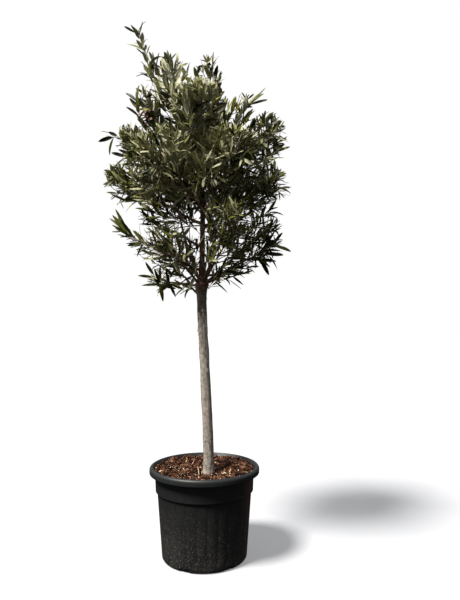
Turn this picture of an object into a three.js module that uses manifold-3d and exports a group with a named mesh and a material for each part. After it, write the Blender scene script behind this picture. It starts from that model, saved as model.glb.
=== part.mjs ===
// A young olive tree grown as a standard: a clean stem, a forked head and an open
// crown, in the black plastic container that a nursery sells it in.
// Millimetres. The origin is the centre of the pot's flat underside, +Z is up and
// -Y is the front.

import * as THREE from "three";
import { mergeVertices } from "three/addons/utils/BufferGeometryUtils.js";
import Module from "manifold-3d";

const wasm = await Module();
wasm.setup();

// Clearance between neighbouring solids
const gap = 0.3;

// The container: a tapered wall with a plain band, flaring out inside a rolled lip
const pot = {
  height: 265,
  lipRadius: 160,
  lipDepth: 19,
  crestRadius: 154,
  throatRadius: 146,
  flareFoot: 250,
  flareTop: 257.5,
  bandTopRadius: 144,
  bandFootRadius: 142,
  bandDepth: 69,
  wallTopRadius: 137,
  footRadius: 124,
  cornerRadius: 9,
  wall: 3,
  sides: 32,
  drainNotches: 6,
  drainWidth: 26,
  drainHeight: 7,
  drainTurn: 6,
};

// The compost, a little lower round the stem than against the wall
const soil = { stemHeight: 241, wallHeight: 258.5, flatRadius: 42 };

// The stem: centre line leaning to the left, and its radius at each of these heights
const stem = {
  sides: 12,
  centre: [
    [12, 0, 0],
    [11, 1, 75],
    [5, 2, 220],
    [-4, 1, 400],
    [-9, 0, 530],
    [-9, 0, 566],
  ],
  radius: [
    [0, 20.5],
    [10, 18],
    [28, 16.2],
    [75, 15.6],
    [220, 14.8],
    [340, 14.3],
    [408, 14.0],
    [418, 15.4],
    [432, 14.0],
    [500, 13.8],
    [525, 15.0],
    [542, 18.5],
    [553, 18.8],
    [562, 13.5],
    [566, 7],
  ],
};

// The leader that carries the upper crown on from the head
const leader = {
  sides: 7,
  rings: 8,
  footRadius: 9.5,
  tipRadius: 4.2,
  centre: [
    [-9, 0, 780],
    [-7, 2, 900],
    [-6, 4, 1030],
    [-12, 6, 1190],
  ],
};

// The crown. Each bough leaves the head or the leader at the height named fork, turned
// to heading, in degrees from +X as seen from above. Its foliage reaches out that far
// from the stem, up to the height named top, and spreads that far from its own axis.
const headHeight = 792;
const crown = [
  { name: "spire", heading: 177, fork: 1155, reach: 210, top: 1578, spread: 46 },
  { name: "top_left", heading: 208, fork: 1115, reach: 112, top: 1452, spread: 78 },
  { name: "crest", heading: 18, fork: 1190, reach: 24, top: 1474, spread: 62 },
  { name: "top_right", heading: 350, fork: 1098, reach: 146, top: 1348, spread: 60 },
  { name: "left_top", heading: 190, fork: 1078, reach: 184, top: 1368, spread: 66 },
  { name: "right_upper", heading: 9, fork: 1040, reach: 238, top: 1296, spread: 96 },
  { name: "right_middle", heading: 350, fork: 958, reach: 244, top: 1116, spread: 126 },
  { name: "left_upper", heading: 183, fork: 1040, reach: 240, top: 1246, spread: 86 },
  { name: "left_middle", heading: 179, fork: 972, reach: 286, top: 1128, spread: 96 },
  { name: "front_upper", heading: 268, fork: 1074, reach: 146, top: 1336, spread: 108 },
  { name: "front_right", heading: 304, fork: 1002, reach: 246, top: 1170, spread: 125 },
  { name: "front_left", heading: 232, fork: 1018, reach: 250, top: 1160, spread: 125 },
  { name: "back_upper", heading: 85, fork: 1090, reach: 132, top: 1366, spread: 110 },
  { name: "back_left", heading: 132, fork: 1026, reach: 254, top: 1160, spread: 125 },
  { name: "back_right", heading: 50, fork: 990, reach: 254, top: 1168, spread: 125 },
  { name: "right_low", heading: 355, fork: headHeight, reach: 226, top: 984, spread: 104 },
  { name: "left_low", heading: 179, fork: 835, reach: 262, top: 962, spread: 54 },
  { name: "left_inner", heading: 178, fork: 905, reach: 188, top: 1008, spread: 64 },
  { name: "left_under", heading: 186, fork: headHeight, reach: 160, top: 800, spread: 54 },
  { name: "right_under", heading: 347, fork: headHeight, reach: 240, top: 916, spread: 54 },
  { name: "front_low", heading: 298, fork: headHeight, reach: 214, top: 1000, spread: 105 },
  { name: "front_left_low", heading: 232, fork: headHeight, reach: 208, top: 930, spread: 95 },
  { name: "back_low", heading: 62, fork: headHeight, reach: 214, top: 1005, spread: 105 },
  { name: "back_left_low", heading: 128, fork: headHeight, reach: 214, top: 940, spread: 95 },
];

// A bough runs this share of the way to its furthest leaf before the foliage takes over
const bough = {
  share: 0.27,
  footRadius: 6.2,
  tipRadius: 3.4,
  arch: 0.06,
  straightEnd: 14,
  sides: 5,
  rings: 3,
};

// The space of each mass of foliage: a barrel along its axis, its half length this
// share of the way from the bough's tip to the furthest leaf, narrower towards that leaf
const barrel = { halfShare: 0.58, power: 4, taper: 0.3 };

// The stem in each mass of foliage, which carries on from its bough's tip
const shoot = {
  footRadius: 3.6,
  tipRadius: 2.2,
  share: 0.74,
  bendAt: 0.42,
  bend: 0.05,
  sides: 3,
  rings: 4,
};

// Twigs set round that stem by the golden angle, leaning out at lean radians at its
// foot and at leanLoss less at its tip
const twig = {
  perMass: 10,
  from: 0.08,
  to: 0.94,
  jitter: 0.6,
  turnJitter: 0.5,
  lean: 1.05,
  leanLoss: 0.3,
  lift: 0.16,
  fill: 0.8,
  longest: 150,
  shortest: 26,
  footRadius: 2.3,
  footLength: 6,
  tipRadius: 1.5,
};
const goldenAngle = THREE.MathUtils.degToRad(137.5);

// A leaf stands for a small spray of them, so it is larger than life. They come in
// pairs from one share of a twig's length to another, at an angle to it in radians.
const leaf = {
  length: 90,
  shortest: 0.88,
  longest: 1.08,
  sizes: [0.97, 0.8, 0.62],
  width: 30,
  thickness: 2.2,
  waist: 0.45,
  from: 0.1,
  to: 0.96,
  pairSpacing: 34,
  angle: 0.72,
  roll: 0.9,
  sunk: 0.3,
  rootZone: 5,
};

// Room that foliage keeps from its neighbours and from the limbs
const clearance = { mass: 5, limb: 2.5 };

const plastic = new THREE.MeshStandardMaterial({ color: 0x222222, roughness: 0.5 });
const compost = new THREE.MeshStandardMaterial({ color: 0x5c4234, roughness: 1 });
const bark = new THREE.MeshStandardMaterial({ color: 0x93877a, roughness: 0.9 });
const youngBark = new THREE.MeshStandardMaterial({ color: 0x5d4436, roughness: 0.85 });
const foliage = new THREE.MeshStandardMaterial({ color: 0x4a5138, roughness: 0.6 });

const vector = (xyz) => new THREE.Vector3(...xyz);

// A seeded run of numbers from 0 to 1
function randomFrom(seed) {
  let state = seed;
  return () => {
    state = (Math.imul(1664525, state) + 1013904223) >>> 0;
    return state / 4294967296;
  };
}

// A closed three.js geometry as a solid that can be cut and joined
function solidOf(geometry) {
  const bare = new THREE.BufferGeometry();
  bare.setAttribute("position", geometry.getAttribute("position"));
  if (geometry.index) bare.setIndex(geometry.index);
  const merged = mergeVertices(bare, 1e-4);
  const corners = merged.index.array;
  const kept = [];
  for (let i = 0; i < corners.length; i += 3) {
    const [a, b, c] = corners.subarray(i, i + 3);
    if (a !== b && b !== c && c !== a) kept.push(a, b, c);
  }
  return new wasm.Manifold(
    new wasm.Mesh({
      numProp: 3,
      vertProperties: merged.attributes.position.array,
      triVerts: new Uint32Array(kept),
    }),
  );
}

function geometryOf(solid) {
  const mesh = solid.getMesh();
  const geometry = new THREE.BufferGeometry();
  geometry.setAttribute("position", new THREE.BufferAttribute(mesh.vertProperties, 3));
  geometry.setIndex(new THREE.BufferAttribute(mesh.triVerts, 1));
  geometry.computeVertexNormals();
  return geometry;
}

function named(name, geometry, material) {
  const mesh = new THREE.Mesh(geometry, material);
  mesh.name = name;
  return mesh;
}

// A profile of [radius, height] pairs turned round the Z axis
function turned(profile, sides) {
  const points = profile.map(([r, z]) => new THREE.Vector2(r, z));
  return new THREE.LatheGeometry(points, sides).rotateX(Math.PI / 2);
}

// The pot's inner wall from the floor's edge up to the throat, drawn in by inset
function innerWall(inset) {
  const { wall, cornerRadius, footRadius } = pot;
  return [
    [footRadius - cornerRadius - inset, wall + inset],
    [footRadius - wall - inset, cornerRadius + inset],
    [pot.wallTopRadius - wall - inset, pot.height - pot.bandDepth],
    [pot.bandTopRadius - wall - inset, pot.flareFoot],
    [pot.throatRadius - inset, pot.flareTop],
  ];
}

// Arc from the underside up into the wall
function footCorner() {
  const { footRadius, cornerRadius } = pot;
  const steps = 3;
  return Array.from({ length: steps + 1 }, (_, i) => {
    const a = (i / steps) * (Math.PI / 2);
    return [
      footRadius - cornerRadius + cornerRadius * Math.sin(a),
      cornerRadius * (1 - Math.cos(a)),
    ];
  });
}

function makePot() {
  const { height, lipRadius, lipDepth, crestRadius, wall } = pot;
  const bandFoot = height - pot.bandDepth;
  const lipFoot = height - lipDepth;
  const profile = [
    [0, 0],
    ...footCorner(),
    [pot.wallTopRadius, bandFoot - 2],
    [pot.bandFootRadius, bandFoot],
    [pot.bandTopRadius, pot.flareFoot],
    [pot.throatRadius + wall, pot.flareTop],
    [lipRadius - wall, height - 2.3 * wall],
    [lipRadius - wall, lipFoot],
    [lipRadius, lipFoot],
    [lipRadius, height - 2.5 * wall],
    [lipRadius - wall, height - 0.8 * wall],
    [crestRadius, height],
    [pot.throatRadius + wall / 2, height - wall],
    ...innerWall(0).reverse(),
    [0, wall],
  ];
  let solid = solidOf(turned(profile, pot.sides));
  const notchReach = 30;
  const notch = new THREE.BoxGeometry(notchReach, pot.drainWidth, 2 * pot.drainHeight);
  notch.translate(pot.footRadius, 0, 0);
  for (let i = 0; i < pot.drainNotches; i++) {
    const turn = THREE.MathUtils.degToRad(-90 + pot.drainTurn + (i + 0.5) * (360 / pot.drainNotches));
    solid = solid.subtract(solidOf(notch.clone().rotateZ(turn)));
  }
  return named("pot", geometryOf(solid), plastic);
}

function makeSoil() {
  const wall = innerWall(gap);
  const profile = [
    [0, wall[0][1]],
    ...wall,
    [pot.throatRadius - 2, soil.wallHeight],
    [soil.flatRadius + 30, soil.stemHeight + 4],
    [soil.flatRadius, soil.stemHeight],
    [0, soil.stemHeight],
  ];
  return named("soil", turned(profile, pot.sides), compost);
}

// A tapering limb: a turned bar of the given radii, bent along a curve
class Limb {
  constructor(points, radiusAt, sides, rings) {
    this.curve = new THREE.CatmullRomCurve3(points);
    this.radiusAt = radiusAt;
    this.sides = sides;
    this.rings = rings;
    this.samples = Array.from({ length: rings + 1 }, (_, i) => ({
      at: this.curve.getPointAt(i / rings),
      radius: radiusAt(i / rings),
    }));
  }

  geometry(extra = 0) {
    const { curve, rings } = this;
    const frames = curve.computeFrenetFrames(rings);
    const profile = [new THREE.Vector2(0, 0)];
    for (let i = 0; i <= rings; i++) {
      profile.push(new THREE.Vector2(this.radiusAt(i / rings) + extra, i));
    }
    profile.push(new THREE.Vector2(0, rings));
    const bar = new THREE.LatheGeometry(profile, this.sides);
    const position = bar.getAttribute("position");
    const point = new THREE.Vector3();
    for (let i = 0; i < position.count; i++) {
      const ring = Math.round(position.getY(i));
      point.copy(curve.getPointAt(ring / rings));
      point.addScaledVector(frames.binormals[ring], position.getX(i));
      point.addScaledVector(frames.normals[ring], position.getZ(i));
      position.setXYZ(i, point.x, point.y, point.z);
    }
    return bar;
  }

  // Distance from a point to the limb's skin
  distanceTo(point) {
    let nearest = Infinity;
    const closest = new THREE.Vector3();
    for (let i = 1; i < this.samples.length; i++) {
      const [a, b] = [this.samples[i - 1], this.samples[i]];
      new THREE.Line3(a.at, b.at).closestPointToPoint(point, true, closest);
      const radius = Math.max(a.radius, b.radius);
      nearest = Math.min(nearest, closest.distanceTo(point) - radius);
    }
    return nearest;
  }
}

function tapered(foot, tip) {
  return (t) => THREE.MathUtils.lerp(foot, tip, t);
}

// The stem is a stack of level rings, so that its foot is a flat cut
function makeStem() {
  const foot = soil.stemHeight + gap;
  const centre = new THREE.CatmullRomCurve3(stem.centre.map(vector));
  const height = stem.centre.at(-1)[2];
  const profile = [[0, 0], ...stem.radius.map(([z, r]) => [r, z]), [0, height]];
  const geometry = turned(profile, stem.sides);
  const position = geometry.getAttribute("position");
  const axisAt = (z) => stemAxis(centre, z);
  for (let i = 0; i < position.count; i++) {
    const axis = axisAt(position.getZ(i));
    position.setXYZ(
      i,
      position.getX(i) + axis.x,
      position.getY(i) + axis.y,
      position.getZ(i) + foot,
    );
  }
  return geometry;
}

// The point of the stem's centre line at a height above its foot
function stemAxis(centre, z) {
  const height = stem.centre.at(-1)[2];
  let [low, high] = [0, 1];
  for (let i = 0; i < 24; i++) {
    const middle = (low + high) / 2;
    if (centre.getPoint(middle).z < Math.min(z, height)) low = middle;
    else high = middle;
  }
  return centre.getPoint(low);
}

function makeLeader() {
  const radius = tapered(leader.footRadius, leader.tipRadius);
  return new Limb(leader.centre.map(vector), radius, leader.sides, leader.rings);
}

// Where the leader's centre line passes a height
function leaderAt(height) {
  const points = leader.centre.map(vector);
  for (let i = 1; i < points.length; i++) {
    const [a, b] = [points[i - 1], points[i]];
    if (height <= b.z) {
      return a.clone().lerp(b, Math.max(0, (height - a.z) / (b.z - a.z)));
    }
  }
  return points.at(-1).clone();
}

// Works out where a bough starts, where it hands over to its foliage, and the axis of
// that foliage from the bough's tip to the furthest leaf
function layOut({ name, heading, fork, reach, top, spread }) {
  const turn = THREE.MathUtils.degToRad(heading);
  const start = leaderAt(fork);
  const far = new THREE.Vector3(
    leader.centre[0][0] + reach * Math.cos(turn),
    leader.centre[0][1] + reach * Math.sin(turn),
    top,
  );
  const way = far.clone().sub(start);
  const tip = start.clone().addScaledVector(way, bough.share);
  const middle = start.clone().addScaledVector(way, bough.share / 2);
  middle.z -= bough.arch * bough.share * way.length();
  const axis = far.clone().sub(tip).normalize();
  const nearTip = tip.clone().addScaledVector(axis, -bough.straightEnd);
  const halfLength = far.distanceTo(tip) * barrel.halfShare;
  return {
    name,
    tip,
    far,
    axis,
    spread,
    halfLength,
    centre: far.clone().addScaledVector(axis, -halfLength),
    boughPoints: [start, middle, nearTip, tip],
    line: new THREE.Line3(tip, far),
  };
}

const masses = crown.map(layOut);

// Whether a point lies in a mass's own space: inside its barrel, and nearer to its
// axis than to that of any other mass
function inSpace(mass, point) {
  const offset = point.clone().sub(mass.centre);
  const along = offset.dot(mass.axis);
  const across = Math.sqrt(Math.max(0, offset.lengthSq() - along * along));
  const reach = along / mass.halfLength;
  const width = mass.spread * (1 - barrel.taper * THREE.MathUtils.clamp(reach, -1, 1));
  const share = reach ** barrel.power + (across / width) ** 2;
  if (share > 1) return false;
  const closest = new THREE.Vector3();
  const own = mass.line.closestPointToPoint(point, true, closest).distanceTo(point);
  return masses.every((other) => {
    if (other === mass) return true;
    const distance = other.line.closestPointToPoint(point, true, closest).distanceTo(point);
    return distance > own + clearance.mass;
  });
}

function clearOf(limbs, point) {
  return limbs.every((limb) => limb.distanceTo(point) > clearance.limb);
}

// A leaf along +Z from its root: a blade of six faces, flat below and ridged above,
// widest nearer the root
function leafBlade(length) {
  const outline = [
    [0, 0],
    [1, leaf.waist],
    [0, 1],
  ];
  const width = (leaf.width * length) / leaf.length;
  return turned(outline, 3).scale(width / Math.sqrt(3), leaf.thickness / 1.5, length);
}

// A three-sided twig, pointed at its foot so that it sinks into what it grows from
function twigAlong(root, direction, length) {
  const profile = [
    new THREE.Vector2(0, 0),
    new THREE.Vector2(twig.footRadius, twig.footLength),
    new THREE.Vector2(twig.tipRadius, length - twig.tipRadius),
    new THREE.Vector2(0, length),
  ];
  const up = new THREE.Vector3(0, 1, 0);
  const turn = new THREE.Quaternion().setFromUnitVectors(up, direction);
  const bar = new THREE.LatheGeometry(profile, 3).applyQuaternion(turn);
  return bar.translate(root.x, root.y, root.z);
}

// A leaf from root along direction, its blade's width towards across, as long as fits
// up to length, or null where it would leave the mass's space or touch anything else
function placedLeaf(mass, limbs, grown, root, direction, across, length) {
  const face = direction.clone().cross(across).normalize();
  const frame = new THREE.Matrix4().makeBasis(across, face, direction);
  frame.setPosition(root.clone().addScaledVector(direction, -leaf.sunk));
  for (const size of leaf.sizes) {
    if (!leafFits(mass, limbs, frame, size * length)) continue;
    const blade = solidOf(leafBlade(size * length).applyMatrix4(frame));
    const foot = direction.dot(root) + leaf.rootZone;
    const outer = blade.trimByPlane(direction.toArray(), foot);
    if (outer.intersect(grown).isEmpty()) return blade;
  }
  return null;
}

// Whether points along a leaf's middle and edges keep to the space, clear of the limbs
function leafFits(mass, limbs, frame, length) {
  const steps = 5;
  for (let i = 1; i <= steps; i++) {
    const share = i / steps;
    const widest = Math.min(share / leaf.waist, (1 - share) / (1 - leaf.waist));
    for (const edge of [-1, 0, 1]) {
      const offset = (edge * widest * leaf.width) / 2;
      const point = new THREE.Vector3(offset, 0, share * length).applyMatrix4(frame);
      if (!inSpace(mass, point) || !clearOf(limbs, point)) return false;
    }
  }
  return true;
}

// Two directions across a direction
function acrossOf(direction) {
  const up = Math.abs(direction.z) > 0.9 ? new THREE.Vector3(1, 0, 0) : new THREE.Vector3(0, 0, 1);
  const first = direction.clone().cross(up).normalize();
  return [first, direction.clone().cross(first).normalize()];
}

// Adds pairs of leaves up a shoot, each pair turned a quarter from the last
function addLeaves(grown, curve, mass, limbs, random) {
  const leafy = curve.getLength() * (1 - leaf.from);
  const pairs = Math.max(1, Math.round(leafy / leaf.pairSpacing));
  const turnAtFoot = random() * Math.PI;
  for (let i = 0; i < pairs; i++) {
    const t = THREE.MathUtils.lerp(leaf.from, leaf.to, (i + 1) / pairs);
    const root = curve.getPointAt(t);
    const along = curve.getTangentAt(t);
    const [u, v] = acrossOf(along);
    const turn = turnAtFoot + (i * Math.PI) / 2;
    for (const half of [0, Math.PI]) {
      const side = u.clone().multiplyScalar(Math.cos(turn + half));
      side.addScaledVector(v, Math.sin(turn + half));
      const direction = along.clone().multiplyScalar(Math.cos(leaf.angle));
      direction.addScaledVector(side, Math.sin(leaf.angle));
      const roll = leaf.roll * (random() - 0.5);
      const across = along.clone().cross(side).applyAxisAngle(direction, roll);
      const size = leaf.length * THREE.MathUtils.lerp(leaf.shortest, leaf.longest, random());
      const blade = placedLeaf(mass, limbs, grown, root, direction, across, size);
      if (blade) grown = grown.add(blade);
    }
  }
  return grown;
}

// The longest straight run from a point before it leaves the space or meets a limb
function roomAlong(mass, limbs, start, direction, longest) {
  const step = 6;
  const point = start.clone();
  for (let run = step; run <= longest; run += step) {
    point.copy(start).addScaledVector(direction, run);
    if (!inSpace(mass, point)) return run - step;
    if (run > 2 * step && !clearOf(limbs, point)) return run - step;
  }
  return longest;
}

// The stem of a mass of foliage, straight at its foot and bent a little above
function makeShoot(mass, random) {
  const length = mass.far.distanceTo(mass.tip);
  const start = mass.tip.clone().addScaledVector(mass.axis, gap);
  const bend = new THREE.Vector3(random() - 0.5, random() - 0.5, 0);
  const points = [
    start,
    start.clone().addScaledVector(mass.axis, bough.straightEnd),
    start
      .clone()
      .addScaledVector(mass.axis, shoot.bendAt * length)
      .addScaledVector(bend, shoot.bend * length),
    start.clone().addScaledVector(mass.axis, shoot.share * length),
  ];
  const radius = tapered(shoot.footRadius, shoot.tipRadius);
  return new Limb(points, radius, shoot.sides, shoot.rings);
}

// Which way the twig with this number leans out of a stem that runs along
function twigDirection(along, t, number, random) {
  const [u, v] = acrossOf(along);
  const turn = number * goldenAngle + twig.turnJitter * random();
  const lean = twig.lean - twig.leanLoss * t;
  const direction = along.clone().multiplyScalar(Math.cos(lean));
  direction.addScaledVector(u, Math.sin(lean) * Math.cos(turn));
  direction.addScaledVector(v, Math.sin(lean) * Math.sin(turn));
  direction.z += twig.lift;
  return direction.normalize();
}

// One mass of foliage: its stem, a last leaf that reaches the furthest tip, and twigs
// that bear leaves, fused into one solid
function growMass(mass, index, limbs) {
  const random = randomFrom(31 + 977 * index);
  const stalk = makeShoot(mass, random);
  let grown = solidOf(stalk.geometry());
  const end = stalk.curve.getPointAt(1).addScaledVector(mass.axis, -leaf.rootZone / 2);
  const [endAcross] = acrossOf(mass.axis);
  const reachLeft = mass.far.distanceTo(end);
  const lastLeaf = placedLeaf(mass, limbs, grown, end, mass.axis, endAcross, reachLeft);
  if (lastLeaf) grown = grown.add(lastLeaf);

  for (let i = 0; i < twig.perMass; i++) {
    const share = (i + twig.jitter * random()) / twig.perMass;
    const t = THREE.MathUtils.lerp(twig.from, twig.to, share);
    const root = stalk.curve.getPointAt(t);
    const direction = twigDirection(stalk.curve.getTangentAt(t), t, i, random);
    const room = twig.fill * roomAlong(mass, limbs, root, direction, twig.longest / twig.fill);
    if (room < twig.shortest) continue;
    const bar = solidOf(twigAlong(root, direction, room));
    const beyond = direction.dot(root) + 2 * twig.footLength;
    if (!bar.trimByPlane(direction.toArray(), beyond).intersect(grown).isEmpty()) continue;
    const bare = grown.add(bar);
    const curve = new THREE.LineCurve3(root, root.clone().addScaledVector(direction, room));
    const leafy = addLeaves(bare, curve, mass, limbs, random);
    if (leafy !== bare) grown = leafy;
  }
  grown = addLeaves(grown, stalk.curve, mass, limbs, random);
  const bodies = grown.decompose().sort((a, b) => b.volume() - a.volume());
  return named(`foliage_${mass.name}`, geometryOf(bodies[0]), foliage);
}

function makeTree() {
  const group = new THREE.Group();
  group.add(makePot(), makeSoil());

  const stemGeometry = makeStem();
  group.add(named("trunk", stemGeometry, bark));
  const centre = new THREE.CatmullRomCurve3(stem.centre.map(vector));
  const foot = soil.stemHeight + gap;
  const stemSolid = solidOf(stemGeometry);

  // A copy of the stem that is wider by the gap, to cut what grows out of it
  const headAxis = stemAxis(centre, stem.centre.at(-1)[2]);
  const head = stemSolid
    .translate([-headAxis.x, -headAxis.y, -foot])
    .scale([1.02, 1.02, 1])
    .translate([headAxis.x, headAxis.y, foot + gap]);
  let taken = wasm.Manifold.union([stemSolid, head]);

  const limbs = [];
  const addLimb = (limb, name) => {
    const solid = solidOf(limb.geometry()).subtract(taken);
    const bodies = solid.decompose().sort((a, b) => b.volume() - a.volume());
    taken = taken.add(solidOf(limb.geometry(gap)));
    limbs.push(limb);
    group.add(named(name, geometryOf(bodies[0]), youngBark));
  };
  addLimb(makeLeader(), "leader");
  for (const mass of masses) {
    const radius = tapered(bough.footRadius, bough.tipRadius);
    addLimb(new Limb(mass.boughPoints, radius, bough.sides, bough.rings), `bough_${mass.name}`);
  }
  masses.forEach((mass, index) => group.add(growMass(mass, index, limbs)));
  return group;
}

export default makeTree();
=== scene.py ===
import bpy
import numpy as np
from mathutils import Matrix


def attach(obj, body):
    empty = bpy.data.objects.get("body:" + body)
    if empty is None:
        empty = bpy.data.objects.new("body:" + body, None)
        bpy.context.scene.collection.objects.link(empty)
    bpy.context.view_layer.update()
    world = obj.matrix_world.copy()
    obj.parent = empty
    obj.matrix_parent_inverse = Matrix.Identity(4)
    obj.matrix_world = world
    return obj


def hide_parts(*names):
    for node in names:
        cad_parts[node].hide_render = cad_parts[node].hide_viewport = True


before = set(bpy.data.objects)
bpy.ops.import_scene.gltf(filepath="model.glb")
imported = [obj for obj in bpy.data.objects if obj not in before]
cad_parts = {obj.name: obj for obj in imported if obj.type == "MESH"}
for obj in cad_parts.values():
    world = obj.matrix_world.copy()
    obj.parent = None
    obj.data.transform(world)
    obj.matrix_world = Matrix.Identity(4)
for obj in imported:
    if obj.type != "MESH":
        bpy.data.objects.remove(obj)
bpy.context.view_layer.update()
print("frame loaded,", len(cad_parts), "nodes")


# Small tools for colours, nodes and meshes

def linear(hexColour):
    # sRGB to linear light: low values are divided by 12.92, the rest raised to the power 2.4
    srgb = np.array([int(hexColour[i:i + 2], 16) for i in (1, 3, 5)]) / 255
    light = np.where(srgb <= 0.04045, srgb / 12.92, ((srgb + 0.055) / 1.055) ** 2.4)
    return (*light.tolist(), 1.0)


def addNode(tree, kind, settings=None):
    # settings fill the node's own fields or its sockets, with values, hex colours or other nodes' outputs
    node = tree.nodes.new("ShaderNode" + kind)
    for key, value in (settings or {}).items():
        if isinstance(value, bpy.types.NodeSocket):
            tree.links.new(value, node.inputs[key])
        elif isinstance(key, int) or key in node.inputs:
            node.inputs[key].default_value = linear(value) if isinstance(value, str) else value
        else:
            setattr(node, key, value)
    return node


def addNoise(tree, place, millimetres, detail=2, roughness=0.5):
    # Noise from 0 to 1 with features of this size
    return addNode(tree, "TexNoise", {"Vector": place, "Scale": 1000 / millimetres, "Detail": detail,
                                      "Roughness": roughness}).outputs["Fac"]


def addRange(tree, value, low, high, least=0, most=1):
    # least where the value is low, most where it is high, even between them and flat beyond
    return addNode(tree, "MapRange", {"Value": value, "From Min": low, "From Max": high, "To Min": least,
                                      "To Max": most}).outputs[0]


def addMath(tree, operation, *values, clamp=False):
    # One operation on up to three values
    settings = {"operation": operation, "use_clamp": clamp, **dict(enumerate(values))}
    return addNode(tree, "Math", settings).outputs[0]


def addMix(tree, share, first, second, blend="MIX"):
    # The first colour at a share of 0, the second at 1
    return addNode(tree, "MixRGB", {"blend_type": blend, "Fac": share, "Color1": first,
                                    "Color2": second}).outputs[0]


def addBump(tree, height, strength, distance):
    # Relief of this distance in metres where the height is 1
    return addNode(tree, "Bump", {"Height": height, "Strength": strength, "Distance": distance}).outputs[0]


def addTwoTone(tree, place, dark, light, millimetres, detail, roughness=0.5, low=0.3, high=0.7):
    # Noise of this size as a mix of two colours. Returns the colour and the noise.
    pattern = addNoise(tree, place, millimetres, detail, roughness)
    return addMix(tree, addRange(tree, pattern, low, high), dark, light), pattern


def addDots(tree, place, colour, dot, millimetres, reach, most):
    # A dot in the middle of each cell of this size, full at half its reach
    cells = addNode(tree, "TexVoronoi", {"Vector": place, "Scale": 1000 / millimetres}).outputs["Distance"]
    return addMix(tree, addRange(tree, cells, reach, reach / 2, 0, most), colour, dot)


def sockets(colour, roughness, specular, normal=None):
    # What every finish fills of the shader
    filled = {"Base Color": colour, "Roughness": roughness, "Specular IOR Level": specular}
    return {**filled, "Normal": normal} if normal else filled


def makeMaterial(name, paint, *colours):
    # paint draws the finish on Object coordinates and returns what fills the shader's sockets
    material = bpy.data.materials.new(name)
    material.use_nodes = True
    tree = material.node_tree
    tree.nodes.clear()
    place = addNode(tree, "TexCoord").outputs["Object"]
    shader = addNode(tree, "BsdfPrincipled", paint(tree, place, *colours))
    addNode(tree, "OutputMaterial", {"Surface": shader.outputs["BSDF"]})
    return material


def addObject(name, data):
    thing = bpy.data.objects.new(name, data)
    bpy.context.scene.collection.objects.link(thing)
    return thing


def allSharp(ends):
    # For pieces whose faces are all flat
    return np.ones(len(ends), bool)


def addPiece(name, points, faces, finishes, kinds=None, sharpEdges=None, slot=None, stands=()):
    # A mesh from whole arrays: faces holds each face's corners, and -1 as fourth corner marks a triangle.
    # finishes are rows for makeMaterial and kinds picks each face's, sharpEdges tells from the two ends of
    # every edge whether it is sharp.
    real = faces >= 0
    corners = faces[real]
    counts = real.sum(1)
    mesh = bpy.data.meshes.new(name)
    mesh.vertices.add(len(points))
    mesh.vertices.foreach_set("co", points.astype(np.float32).ravel())
    mesh.loops.add(len(corners))
    mesh.loops.foreach_set("vertex_index", corners.astype(np.int32))
    mesh.polygons.add(len(faces))
    mesh.polygons.foreach_set("loop_start", (np.cumsum(counts) - counts).astype(np.int32))
    for finish in finishes:
        mesh.materials.append(bpy.data.materials.get(finish[0]) or makeMaterial(*finish))
    if kinds is not None:
        mesh.polygons.foreach_set("material_index", kinds.astype(np.int32))
    mesh.polygons.foreach_set("use_smooth", np.ones(len(faces), bool))
    mesh.update(calc_edges=True)
    mesh.validate()
    if sharpEdges:
        ends = np.zeros(2 * len(mesh.edges), np.int32)
        mesh.edges.foreach_get("vertices", ends)
        sharp = mesh.attributes.new("sharp_edge", "BOOLEAN", "EDGE")
        sharp.data.foreach_set("value", sharpEdges(ends.reshape(-1, 2)))
    piece = addObject(name, mesh)
    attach(piece, "root")
    if stands:
        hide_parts(*stands)
    print(" ", name, len(points), "points", int((counts - 2).sum()), "triangles")
    return piece


# Small tools for shapes

skyward = np.array([0, 0, 1.0])


def inMillimetres(*values):
    # Points of a line, written as x, y, z of each
    return np.reshape(values, (-1, 3)) / 1000


def unit(vectors):
    return vectors / np.maximum(np.linalg.norm(vectors, axis=-1, keepdims=True), 1e-9)


def between(low, high, share):
    # low at a share of 0, high at 1, straight between them
    return low + (high - low) * share


def smoothStep(values, low, high):
    # 0 below low, 1 above high, 3t^2 - 2t^3 between them
    t = np.clip((values - low) / (high - low), 0, 1)
    return t * t * (3 - 2 * t)


def valueNoise(points, size, seed):
    # Random values at the corners of cubes of this size, blended smoothly between them: 0 to 1
    place = points / size + 500
    cell = np.floor(place).astype(np.int64)
    part = place - cell
    part = part * part * (3 - 2 * part)
    total = np.zeros(points.shape[:-1])
    for corner in np.ndindex(2, 2, 2):
        code = (cell + corner) @ np.array([73856093, 19349663, 83492791]) + seed * 7919
        code = ((code ^ (code >> 13)) * 1274126177) & 0x7FFFFFFF
        code = ((code ^ (code >> 15)) * 1103515245) & 0x7FFFFFFF
        weight = np.prod(np.where(np.array(corner, bool), part, 1 - part), axis=-1)
        total = total + weight * code / 0x7FFFFFFF
    return total


def pointsAt(stops, run, line):
    # Where a line is at these stops of its run
    return np.stack([np.interp(stops, run, values) for values in line.T], -1)


def pointOn(path, place):
    # The same with its run counted in its points
    return pointsAt(place, np.arange(len(path)), path)


def lengthsAlong(path):
    # From each point to the next
    return np.linalg.norm(np.diff(path, axis=0), axis=1)


def smoothThrough(points, count):
    # A Catmull-Rom curve: each stretch is the cubic that leaves a point along the line between its neighbours
    ends = np.vstack([2 * points[0] - points[1], points, 2 * points[-1] - points[-2]])
    run = np.linspace(0, len(points) - 1, count)
    first = np.minimum(run.astype(int), len(points) - 2)
    t = (run - first)[:, None]
    a, b, c, d = (ends[first + k] for k in range(4))
    return 0.5 * (2 * b + (c - a) * t + (2 * a - 5 * b + 4 * c - d) * t**2 + (3 * b - a - 3 * c + d) * t**3)


def turns(count):
    # Even turns all round
    return np.arange(count) * 2 * np.pi / count


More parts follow.
